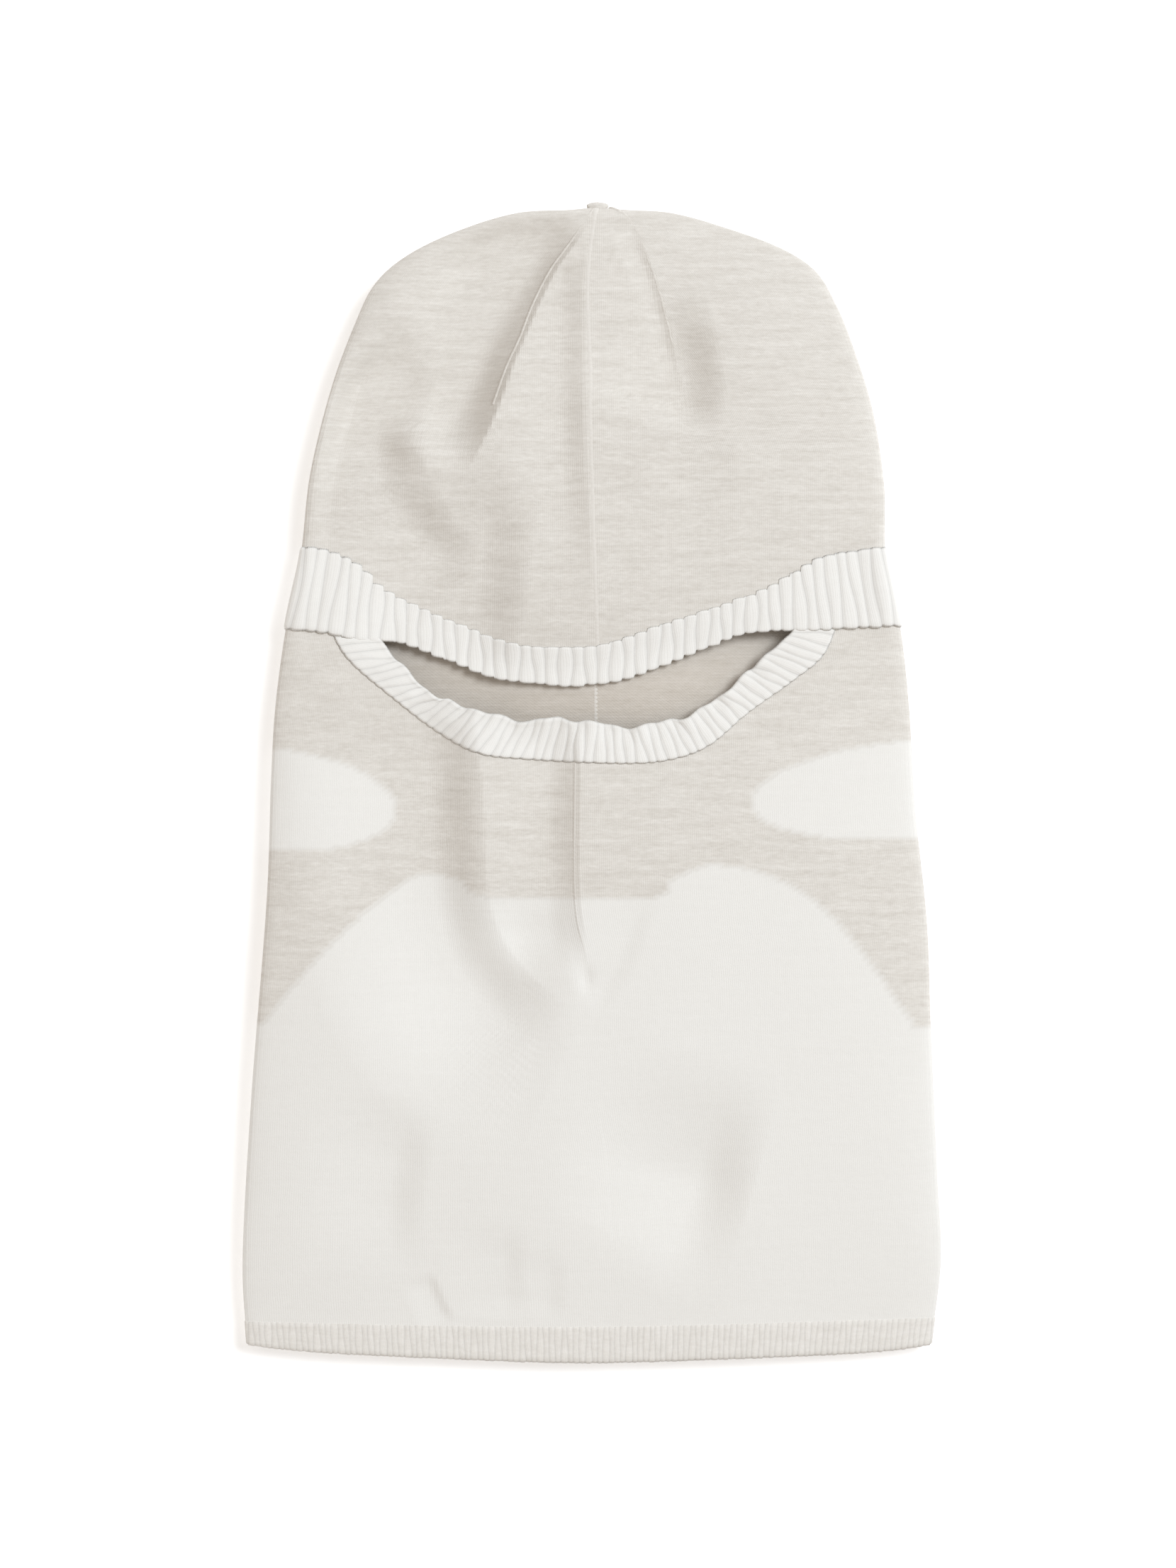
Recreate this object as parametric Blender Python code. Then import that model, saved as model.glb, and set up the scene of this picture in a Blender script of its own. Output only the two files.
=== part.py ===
"""A knitted balaclava laid flat on its back, as the separate pieces it is linked together from.

+Z is up (the face side), +Y runs to the crown and +X to the right of someone looking down on it.
The floor under the back is z = 0. Sizes here are in millimetres, and Blender gets metres.

Every piece is a stretch of one flattened knitted tube, closed at the crown. So the tube's wall is
made once for each thickness, and each piece is what an upright cutter of its outline takes of it.
"""

import math

import bmesh
import bpy
import numpy as np

MM = 0.001

# Driving sizes
LENGTH = 428.0
KNOT = (2.2, 0.8, 1.6)  # half sizes of the finishing knot at the crown's tip
TOP = LENGTH / 2 - 2 * KNOT[1] - 0.3  # the tip of the crown itself, under the knot
HEM = -LENGTH / 2
BELOW = HEM - 4.0  # the tube's wall runs on to here, and the hem's outline trims it
KNIT = 2.0  # thickness of the jersey
RIB_PROUD = 0.8  # how far a ribbed band stands outside the jersey
SEAM_PROUD = 0.4  # how far a linked seam stands outside it
FOLD = 5.0  # outer radius of the side folds, and the height where front and back layers meet
GAP = 0.15  # what each piece gives up along its edges, so neighbours stay 0.3 apart
SEAM = 1.0  # half the width that a seam takes from the panels beside it
OUTSIDE = 150.0  # well past both side folds
STEP = 5.0  # spacing of the points along an outline
FRONT_SIDES, FOLD_SIDES, BACK_SIDES = 24, 4, 8  # facets of a cross-section's stretches

# The silhouette, from the hem to the crown's tip: (x, y)
LEFT_SIDE = (
    (-125, BELOW), (-126.5, -200), (-127.5, -173), (-124.2, -115), (-118.6, -44), (-117, 0),
    (-115.4, 28), (-111.5, 57), (-106, 84), (-102.6, 113), (-95, 144), (-86.5, 167.4),
    (-78.9, 183), (-66, 193.5), (-46, 202.5), (-24, 209), (-8, 211.5), (3, TOP),
)
RIGHT_SIDE = (
    (123, BELOW), (124.5, -203), (128, -175), (126.5, -145), (124.5, -90), (122.9, -51),
    (118.5, -10), (116.6, 28), (112.8, 57), (108.4, 84), (107.8, 108), (103.4, 136),
    (96.1, 159.6), (89.3, 175.2), (81, 187), (68, 195.5), (46.7, 203.5), (27.7, 209.2),
    (14, 211.6), (3, TOP),
)
# Height of the front layer over the floor, along the middle: (y, z)
DOME = (
    (BELOW, 13), (-150, 15), (-60, 17), (45, 17), (110, 19), (160, 18), (190, 14.5), (206, 11.5),
    (TOP, 10),
)
FLATNESS = 0.6  # the front's cross-section: 1 would be half an ellipse, less has a flatter middle

# Edges that run across the front: (x, y)
BROW_TOP = (
    (-103, 86), (-94.5, 84), (-84.6, 78.8), (-79, 73.4), (-67, 66.6), (-49, 59), (-29, 51.3),
    (-7.5, 49.5), (4.7, 50.5), (24.5, 57), (50.4, 65.8), (65.7, 71.2), (75, 76.5), (87, 82.6),
    (105, 86),
)
BROW_BOTTOM = (
    (-108.5, 57), (-95, 55.6), (-85, 53), (-69, 52.6), (-52, 46.8), (-35, 39.9), (-14, 36.8),
    (-4.5, 36.4), (13.8, 39.1), (35, 47.9), (53.4, 56.2), (68, 58.8), (80, 57.4), (110, 58),
)
CHIN_TOP = (
    (-75.5, 53), (-65.5, 41.4), (-56.4, 32.2), (-44, 27.6), (-26, 23.1), (-10.6, 23.8),
    (15.4, 20), (29, 23.1), (37, 24.1), (46, 29.2), (52, 33), (62.7, 45.2), (71.8, 52.8),
    (75.5, 57.8),
)
CHIN_BOTTOM = (
    (-95.3, 55.6), (-89.2, 46), (-71.6, 30.7), (-56.4, 19.2), (-41, 10.9), (-23, 8.6), (12.3, 7),
    (30.6, 8.6), (44.3, 13.9), (58, 25.4), (75, 37.6), (86, 47), (90.5, 57.5),
)
SNOW_LINE = (
    (-119.5, -89.7), (-92, -62), (-61, -34.3), (-48, -36), (-36, -42.1), (22.5, -42.1), (30, -36),
    (45.4, -30.2), (71.4, -36.4), (94.3, -55.1), (119.5, -89.7),
)
HEM_TOP = ((-127, -197.6), (0, -199), (127, -196))
HEM_BOTTOM = (
    (-127, -207.3), (-100, -210), (-43, -212.8), (0, HEM - GAP), (43, -212.8), (100, -210),
    (127, -206),
)
# The same edges on the back, where each runs straight across at its height at the side folds
BROW_TOP_BACK = ((-112, 86), (112, 86))
BROW_BOTTOM_BACK = ((-112, 57), (113, 58))
SNOW_LINE_BACK = ((-123, -89.7), (123, -89.7))

# Seams that run along the length: (x, y)
CROWN_SEAM = ((3, 50), (0.9, 114), (0, 149), (-0.5, 185), (2.5, TOP))
LOWER_SEAM = (
    (9.5, BELOW), (9.5, -199), (6.6, -144), (2.5, -115), (-0.4, -69), (-4.8, -42), (-4.8, 9),
)
BACK_SEAM = ((2.5, BELOW), (2.5, TOP))

# Pale ovals over the cheeks, centred on the side folds: centre, radii, tilt in degrees
CHEEK_LEFT = ((-117, -6), (46, 18.5), 5.7)
CHEEK_RIGHT = ((117, -2.4), (58, 17.7), -5.3)

IVORY = (0.80, 0.79, 0.76)
OATMEAL = (0.68, 0.65, 0.60)


def clear_scene():
    for obj in list(bpy.data.objects):
        bpy.data.objects.remove(obj)


def knit_material(name, color):
    material = bpy.data.materials.new(name)
    material.use_nodes = True
    material.diffuse_color = (*color, 1)
    shader = material.node_tree.nodes["Principled BSDF"]
    shader.inputs["Base Color"].default_value = (*color, 1)
    shader.inputs["Roughness"].default_value = 0.9
    shader.inputs["Metallic"].default_value = 0.0
    return material


def spline(points, steps=8):
    """Points along a smooth curve through the given ones."""
    p = [np.array(q, float) for q in points]
    p = [2 * p[0] - p[1], *p, 2 * p[-1] - p[-2]]
    found = []
    for a, b, c, d in zip(p, p[1:], p[2:], p[3:]):
        for t in np.linspace(0, 1, steps, endpoint=False):
            square, cube = t * t, t * t * t
            bend = (2 * a - 5 * b + 4 * c - d) * square + (3 * b - a - 3 * c + d) * cube
            found.append(b + 0.5 * ((c - a) * t + bend))
    found.append(p[-2])
    return np.array(found)


def across(points):
    """An edge as a function: its y at any x."""
    curve = spline(points)
    order = np.maximum.accumulate(curve[:, 0])
    return lambda x: float(np.interp(x, order, curve[:, 1]))


def along(points):
    """A seam or a side as a function: its x at any y."""
    curve = spline(points)
    order = np.maximum.accumulate(curve[:, 1])
    return lambda y: float(np.interp(y, order, curve[:, 0]))


left_side, right_side = along(LEFT_SIDE), along(RIGHT_SIDE)
dome = across(DOME)


def section(y, grow):
    """The tube's cross-section at y: a flat back, two rounded folds and a domed front.

    grow moves it outwards, or inwards by the knit's thickness; the back never goes below z = 0.
    """
    middle = (left_side(y) + right_side(y)) / 2
    half = max((right_side(y) - left_side(y)) / 2 + grow, 0.4)
    near_tip = max(0.0, (y - (TOP - FOLD)) / FOLD)
    round_off = math.sqrt(1 - near_tip * near_tip)
    bottom = FOLD - (FOLD - max(0.0, -grow)) * round_off
    top = FOLD + (dome(y) + grow - FOLD) * round_off
    corner = min(FOLD + min(grow, 0), half / 2)
    front = np.linspace(0, math.pi, FRONT_SIDES + 1)
    rise = np.abs(np.sin(front)) ** FLATNESS
    points = [(half * math.cos(a), FOLD + (top - FOLD) * r) for a, r in zip(front, rise)]
    turn = np.linspace(0, math.pi / 2, FOLD_SIDES + 1)[1:-1]
    fold = [(half - corner * (1 - math.cos(a)), FOLD - (FOLD - bottom) * math.sin(a)) for a in turn]
    points += [(-x, z) for x, z in fold]
    points += [(x, bottom) for x in np.linspace(corner - half, half - corner, BACK_SIDES + 1)]
    points += fold[::-1]
    return [(middle + x, z) for x, z in points]


def stations():
    """Where the cross-sections are taken: evenly along the tube, then closer towards the tip."""
    even = np.linspace(BELOW, TOP - 34, 40)
    closing = TOP - np.array((26.5, 20.5, 15.5, 11.5, 8.5, 6.2, 4.4, 3.0, 1.9, 1.0, 0.4, 0.12))
    return [*even, *closing]


def wall_mesh(name, proud):
    """The tube's whole wall as one closed mesh, open at the hem end."""
    bm = bmesh.new()
    skins = []
    for grow, facing_out in ((proud, True), (-KNIT, False)):
        rings = []
        for y in stations():
            # The inner skin's rings draw back from the tip by the thickness of the knit.
            drawn_back = 0 if facing_out else KNIT * (y - BELOW) / (TOP - BELOW)
            points = [(x * MM, (y - drawn_back) * MM, z * MM) for x, z in section(y, grow)]
            rings.append([bm.verts.new(point) for point in points])
        for first, second in zip(rings, rings[1:]):
            for i in range(len(first)):
                j = (i + 1) % len(first)
                face = (first[i], first[j], second[j], second[i])
                bm.faces.new(face if facing_out else face[::-1])
        bm.faces.new(rings[-1] if facing_out else rings[-1][::-1])
        skins.append(rings[0])
    outer, inner = skins
    for i in range(len(outer)):
        j = (i + 1) % len(outer)
        bm.faces.new((outer[j], outer[i], inner[i], inner[j]))
    bmesh.ops.recalc_face_normals(bm, faces=bm.faces[:])
    mesh = bpy.data.meshes.new(name)
    bm.to_mesh(mesh)
    bm.free()
    mesh.shade_smooth()
    return mesh


def add_object(name, mesh):
    obj = bpy.data.objects.new(name, mesh)
    bpy.context.scene.collection.objects.link(obj)
    return obj


def prism(name, outline, low, high):
    """A cutter: the outline, stood up between two heights."""
    bm = bmesh.new()
    face = bm.faces.new([bm.verts.new((x * MM, y * MM, low * MM)) for x, y in outline])
    raised = bmesh.ops.extrude_face_region(bm, geom=[face])["geom"]
    lifted = [v for v in raised if isinstance(v, bmesh.types.BMVert)]
    bmesh.ops.translate(bm, verts=lifted, vec=(0, 0, (high - low) * MM))
    bmesh.ops.recalc_face_normals(bm, faces=bm.faces[:])
    mesh = bpy.data.meshes.new(name)
    bm.to_mesh(mesh)
    bm.free()
    cutter = add_object(name, mesh)
    cutter.hide_render = True
    cutter.display_type = "WIRE"
    return cutter


def crossing(edge, seam):
    """Where an edge meets a seam."""
    x = seam(0.0)
    for _ in range(6):
        x = seam(edge(x))
    return x


def lattice(start, end):
    """The shared x positions that every outline is sampled at, and the two ends."""
    inner = np.arange(math.ceil(start / STEP), math.floor(end / STEP) + 1) * STEP
    return [start, *[x for x in inner if start + 0.5 < x < end - 0.5], end]


def between(lower, upper, left, right):
    """An outline: lower and upper are edges, left and right are seams. Each side gives up GAP."""
    low = [(x, lower(x) + GAP) for x in lattice(crossing(lower, left), crossing(lower, right))]
    high = [(x, upper(x) - GAP) for x in lattice(crossing(upper, left), crossing(upper, right))]
    right_rise = [(right(y), y) for y in np.linspace(low[-1][1], high[-1][1], 14)[1:-1]]
    left_rise = [(left(y), y) for y in np.linspace(low[0][1], high[0][1], 14)[1:-1]]
    return low + right_rise + high[::-1] + left_rise[::-1]


def beside(seam, side):
    """The seam's line moved off to the edge of the panel on that side (-1 left, 1 right)."""
    return lambda y: seam(y) + side * SEAM


def strip(lower, upper, seam):
    """The outline of the seam itself."""
    half = SEAM - 2 * GAP
    return between(lower, upper, lambda y: seam(y) - half, lambda y: seam(y) + half)


def oval(centre, radii, tilt, grow):
    turn = math.radians(tilt)
    found = []
    for angle in np.linspace(0, 2 * math.pi, 48, endpoint=False):
        x, y = (radii[0] + grow) * math.cos(angle), (radii[1] + grow) * math.sin(angle)
        found.append((
            centre[0] + x * math.cos(turn) + y * math.sin(turn),
            centre[1] - x * math.sin(turn) + y * math.cos(turn),
        ))
    return found


def add_boolean(obj, operation, cutter):
    cut = obj.modifiers.new(f"{operation.lower()} {cutter.name}", "BOOLEAN")
    cut.operation = operation
    cut.solver = "EXACT"
    cut.object = cutter


def front_cutter(name, outline):
    return prism(f"{name}_front_cutter", outline, FOLD + GAP, 60)


def back_cutter(name, outline):
    return prism(f"{name}_back_cutter", outline, -10, FOLD - GAP)


def round_cutter(name, front, back):
    """A cutter for a piece that goes round a side fold: one outline above, another below."""
    upper = prism(f"{name}_front_cutter", front, FOLD - 0.05, 60)
    lower = prism(f"{name}_back_cutter", back, -10, FOLD)
    add_boolean(upper, "UNION", lower)
    return upper


def knit_piece(name, wall, cutter, material):
    piece = add_object(name, wall.copy())
    piece.data.materials.append(material)
    add_boolean(piece, "INTERSECT", cutter)
    return piece


clear_scene()
jersey_wall = wall_mesh("jersey_wall", 0.0)
rib_wall = wall_mesh("rib_wall", RIB_PROUD)
seam_wall = wall_mesh("seam_wall", SEAM_PROUD)

brow_top, brow_bottom = across(BROW_TOP), across(BROW_BOTTOM)
brow_top_back, brow_bottom_back = across(BROW_TOP_BACK), across(BROW_BOTTOM_BACK)
chin_top_curve, chin_bottom_curve = across(CHIN_TOP), across(CHIN_BOTTOM)
snow_line, snow_line_back = across(SNOW_LINE), across(SNOW_LINE_BACK)
hem_top, hem_bottom = across(HEM_TOP), across(HEM_BOTTOM)
crown_seam, lower_seam, back_seam = along(CROWN_SEAM), along(LOWER_SEAM), along(BACK_SEAM)


def far_left(_):
    return -OUTSIDE


def far_right(_):
    return OUTSIDE


def over_tip(_):
    return TOP + 6.0


def chin_top(x):
    """The chin band's upper edge, which ends under the brow band at the corners of the opening."""
    return chin_top_curve(x) if CHIN_TOP[0][0] < x < CHIN_TOP[-1][0] else brow_bottom(x)


def chin_bottom(x):
    """Where the lower face begins: under the chin band, and under the brow band beside it."""
    return chin_bottom_curve(x) if CHIN_BOTTOM[0][0] < x < CHIN_BOTTOM[-1][0] else brow_bottom(x)


def chin_left(_):
    return CHIN_BOTTOM[0][0] + 2 * GAP


def chin_right(_):
    return CHIN_BOTTOM[-1][0] - 2 * GAP


SIDES = (("left", -1, CHEEK_LEFT), ("right", 1, CHEEK_RIGHT))


def side_limits(seam, side):
    """The seams to the left and right of a panel on that side."""
    inner = beside(seam, side)
    return (far_left, inner) if side < 0 else (inner, far_right)


def add_crown(oatmeal):
    for word, side, _ in SIDES:
        name = f"crown_{word}"
        front = between(brow_top, over_tip, *side_limits(crown_seam, side))
        back = between(brow_top_back, over_tip, *side_limits(back_seam, side))
        knit_piece(name, jersey_wall, round_cutter(name, front, back), oatmeal)


def add_bands(ivory, oatmeal):
    front = between(brow_bottom, brow_top, far_left, far_right)
    back = between(brow_bottom_back, brow_top_back, far_left, far_right)
    knit_piece("brow_band", rib_wall, round_cutter("brow_band", front, back), ivory)
    chin = between(chin_bottom, chin_top, chin_left, chin_right)
    knit_piece("chin_band", rib_wall, front_cutter("chin_band", chin), ivory)
    hem = between(hem_bottom, hem_top, far_left, far_right)
    knit_piece("hem_band", rib_wall, round_cutter("hem_band", hem, hem), oatmeal)


def add_lower_face(oatmeal, ivory):
    for word, side, cheek in SIDES:
        name = f"face_{word}"
        front = between(snow_line, chin_bottom, *side_limits(lower_seam, side))
        back = between(snow_line_back, brow_bottom_back, *side_limits(back_seam, side))
        panel = knit_piece(name, jersey_wall, round_cutter(name, front, back), oatmeal)
        room = prism(f"{name}_cheek_cutter", oval(*cheek, GAP), -10, 60)
        add_boolean(panel, "DIFFERENCE", room)
        patch = prism(f"cheek_patch_{word}_cutter", oval(*cheek, -GAP), -10, 60)
        knit_piece(f"cheek_patch_{word}", jersey_wall, patch, ivory)


def add_neck(ivory):
    for word, side, _ in SIDES:
        name = f"neck_{word}"
        front = between(hem_top, snow_line, *side_limits(lower_seam, side))
        back = between(hem_top, snow_line_back, *side_limits(back_seam, side))
        knit_piece(name, jersey_wall, round_cutter(name, front, back), ivory)


def add_seams(oatmeal):
    crown_front = strip(brow_top, over_tip, crown_seam)
    crown_back = strip(brow_top_back, over_tip, back_seam)
    lower_front = strip(hem_top, chin_bottom, lower_seam)
    lower_back = strip(hem_top, brow_bottom_back, back_seam)
    for name, outline in (("crown_front_seam", crown_front), ("lower_front_seam", lower_front)):
        knit_piece(name, seam_wall, front_cutter(name, outline), oatmeal)
    for name, outline in (("crown_back_seam", crown_back), ("lower_back_seam", lower_back)):
        knit_piece(name, seam_wall, back_cutter(name, outline), oatmeal)


def add_crown_knot(oatmeal):
    """The end of the crown's seam thread, finished off in a small knot at the tip."""
    bm = bmesh.new()
    bmesh.ops.create_uvsphere(bm, u_segments=12, v_segments=8, radius=MM)
    bmesh.ops.scale(bm, vec=KNOT, verts=bm.verts[:])
    mesh = bpy.data.meshes.new("crown_knot")
    bm.to_mesh(mesh)
    bm.free()
    mesh.shade_smooth()
    knot = add_object("crown_knot", mesh)
    knot.location = (LEFT_SIDE[-1][0] * MM, (LENGTH / 2 - KNOT[1]) * MM, FOLD * MM)
    knot.data.materials.append(oatmeal)


def main():
    ivory = knit_material("ivory_knit", IVORY)
    oatmeal = knit_material("oatmeal_knit", OATMEAL)
    add_crown(oatmeal)
    add_bands(ivory, oatmeal)
    add_lower_face(oatmeal, ivory)
    add_neck(ivory)
    add_seams(oatmeal)
    add_crown_knot(oatmeal)


main()
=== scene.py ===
# %% [markdown]
# # A knitted balaclava, laid flat
#
# The real thing is one flattened tube of fine wool knit: a hood whose two halves meet in a seam down
# the front and another down the back, a ribbed band over the brow, a ribbed band under the chin, a
# neck with pale shapes knitted in, and a ribbed hem. Nothing in it is stiff, so all of its looks come
# from how the cloth lies and how the yarn is looped.
#
# The tube is described once, as a smooth skin. Every piece is then a stretch of that skin, cut along
# its stitches and given the thickness of the yarn. Lengths are in millimetres until a mesh is made.

# %% Load the fixed frame
import math

import bpy
import numpy as np
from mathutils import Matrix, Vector, noise


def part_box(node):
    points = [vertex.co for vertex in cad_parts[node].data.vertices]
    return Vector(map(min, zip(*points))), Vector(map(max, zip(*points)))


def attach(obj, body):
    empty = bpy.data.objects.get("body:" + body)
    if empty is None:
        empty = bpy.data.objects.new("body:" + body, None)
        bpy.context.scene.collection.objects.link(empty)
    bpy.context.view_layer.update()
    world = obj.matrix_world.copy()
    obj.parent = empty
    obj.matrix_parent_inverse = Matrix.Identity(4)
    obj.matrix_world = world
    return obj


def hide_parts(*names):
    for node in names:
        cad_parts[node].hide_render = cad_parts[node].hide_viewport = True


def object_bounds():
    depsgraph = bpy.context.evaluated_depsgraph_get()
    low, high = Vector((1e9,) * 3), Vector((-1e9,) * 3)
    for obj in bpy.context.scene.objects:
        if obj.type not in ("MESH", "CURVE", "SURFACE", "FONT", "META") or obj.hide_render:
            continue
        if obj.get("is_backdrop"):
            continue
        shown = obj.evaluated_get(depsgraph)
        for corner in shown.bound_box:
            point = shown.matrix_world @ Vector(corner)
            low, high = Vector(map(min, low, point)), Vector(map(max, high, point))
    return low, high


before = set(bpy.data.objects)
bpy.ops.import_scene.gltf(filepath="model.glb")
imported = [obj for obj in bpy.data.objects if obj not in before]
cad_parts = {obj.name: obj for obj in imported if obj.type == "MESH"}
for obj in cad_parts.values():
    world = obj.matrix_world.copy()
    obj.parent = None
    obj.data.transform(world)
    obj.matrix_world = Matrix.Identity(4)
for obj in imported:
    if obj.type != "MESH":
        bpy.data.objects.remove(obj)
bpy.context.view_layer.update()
MM = 0.001
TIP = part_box("crown_left")[1].y / MM
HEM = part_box("hem_band")[0].y / MM
FOLD = 5.0  # radius of the fold down each side
print("crown's tip and hem at", round(TIP, 1), round(HEM, 1), "mm")

# %% [markdown]
# ## Curves
#
# An edge of cloth is a soft line, so each one is a few points with a smooth curve drawn through them.
# An edge that runs across the face is read as a height for any x, and a seam or a side, which runs
# along the length, is read as an x for any height.

# %% Smooth curves through a few points
def spline(points, steps=10):
    """Points along a smooth curve through the given ones."""
    p = [np.array(q, float) for q in points]
    p = [2 * p[0] - p[1], *p, 2 * p[-1] - p[-2]]
    found = []
    for a, b, c, d in zip(p, p[1:], p[2:], p[3:]):
        for t in np.linspace(0, 1, steps, endpoint=False):
            bend = (2 * a - 5 * b + 4 * c - d) * t**2 + (3 * b - a - 3 * c + d) * t**3
            found.append(b + 0.5 * ((c - a) * t + bend))
    return np.array([*found, p[-2]])


def across(points):
    """An edge as a function: its y at any x."""
    curve = spline(points)
    order = np.maximum.accumulate(curve[:, 0])
    return lambda x: np.interp(x, order, curve[:, 1])


def along(points):
    """A seam or a side as a function: its x at any y."""
    curve = spline(points)
    order = np.maximum.accumulate(curve[:, 1])
    return lambda y: np.interp(y, order, curve[:, 0])


# %% The outline and the edges of the pieces
BELOW = HEM - 4.0
left_side = along((
    (-125, BELOW), (-126.5, -200), (-127.5, -173), (-124.2, -115), (-118.6, -44), (-117, 0),
    (-115.4, 28), (-111.5, 57), (-106, 84), (-102.6, 113), (-95, 144), (-86.5, 167.4),
    (-78.9, 183), (-66.5, 194), (-47.5, 203.2), (-26.5, 209.6), (-9, TIP - 1.3), (3, TIP),
))
right_side = along((
    (124.5, BELOW), (126.3, -203), (129.4, -175), (128, -145), (125.5, -90), (124, -51),
    (119.8, -10), (117.5, 28), (114.3, 57), (108.9, 84), (108.4, 108), (104.2, 136),
    (97, 159.6), (90.6, 175.6), (83, 188), (69.5, 196.8), (48.2, 204.6), (30, 209.6),
    (15, TIP - 1.3), (3, TIP),
))
dome = across((
    (BELOW, 9), (-198, 10.5), (-150, 14), (-60, 16.5), (0, 16), (45, 15), (110, 17.5), (160, 17.5),
    (190, 14.5), (206, 11.5), (TIP, 10),
))
brow_top = across((
    (-103, 86), (-94.5, 84), (-84.6, 78.8), (-79, 73.4), (-67, 66.6), (-49, 59), (-29, 51.3),
    (-7.5, 49.5), (4.7, 50.5), (24.5, 57), (50.4, 65.8), (65.7, 71.2), (75, 76.5), (87, 82.6),
    (105, 86),
))
brow_bottom = across((
    (-108.5, 57), (-95, 55.6), (-85, 53), (-69, 51.8), (-52, 45.4), (-35, 39.1), (-14, 36.5),
    (-4.5, 36.2), (13.8, 38.7), (35, 46.5), (54, 54.4), (68, 56.6), (80, 56.4), (110, 58),
))
CHIN_TOP = (
    (-79, 60), (-76.5, 52.5), (-66.5, 40.6), (-56.4, 32.2), (-44, 27.6), (-26, 23.1),
    (-10.6, 23.8), (15.4, 20.4), (29, 23.4), (37, 24.6), (46, 31), (52, 35), (62.7, 45.6),
    (71.8, 52.8), (77, 62),
)
CHIN_BOTTOM = (
    (-97, 61), (-89.2, 46), (-71.6, 30.7), (-56.4, 19.2), (-41, 10.9), (-23, 8.6),
    (12.3, 7), (30.6, 8.6), (44.3, 13.9), (58, 25.4), (75, 37.6), (86, 47), (92, 61),
)
chin_bottom = across(CHIN_BOTTOM)
snow_line = across((
    (-119.5, -88.5), (-106, -71.8), (-92, -56.8), (-76, -42.4), (-62, -34), (-48, -36),
    (-36, -42.1), (22.5, -42.1), (30, -36), (45.4, -30.2), (71.4, -36.4), (94.3, -55.1),
    (119.5, -89.7),
))
hem_top = across(((-127, -197.6), (0, -199), (127, -196)))
hem_bottom = across((
    (-127, -206.8), (-100, -209.5), (-43, -212.2), (0, HEM + 0.6), (43, -212.2), (100, -209.8),
    (127, -206.8),
))
crown_seam = along(((3, 50), (0.9, 114), (0, 149), (-0.5, 185), (2.5, TIP)))
lower_seam = along((
    (9.5, BELOW), (9.5, -199), (6.6, -144), (2.5, -115), (-0.4, -69), (-4.8, -42), (-4.8, 9),
))
BACK_SEAM_X = 2.5
BROW_BACK = (57.5, 86.0)  # the brow band's two edges, round the back
SNOW_BACK = -89.7  # the pale yarn's edge, round the back
# each pale oval's centre, its two radii, and how many degrees it tilts
CHEEKS = {-1: ((-117, -6), (46, 18.5), 5.7), 1: ((117, -2.4), (58, 17.7), -5.3)}
print("brow band is", round(float(brow_top(0) - brow_bottom(0)), 1), "mm tall at the middle")

# %% [markdown]
# ## How the cloth lies
#
# Cloth that lies on a table isn't a smooth dome. It sinks where it is slack and stands up where it is
# folded, and soft light shows every one of those slopes. A cloth simulation would crumple it in its
# own way each time a number changed, and these folds have places. So each is written down as a line
# along its crest. The cloth falls away on the right hand of someone who walks down that line, and
# then climbs back slowly. A narrow fall is a sharp fold, and a wide one is a gentle sag.

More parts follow.
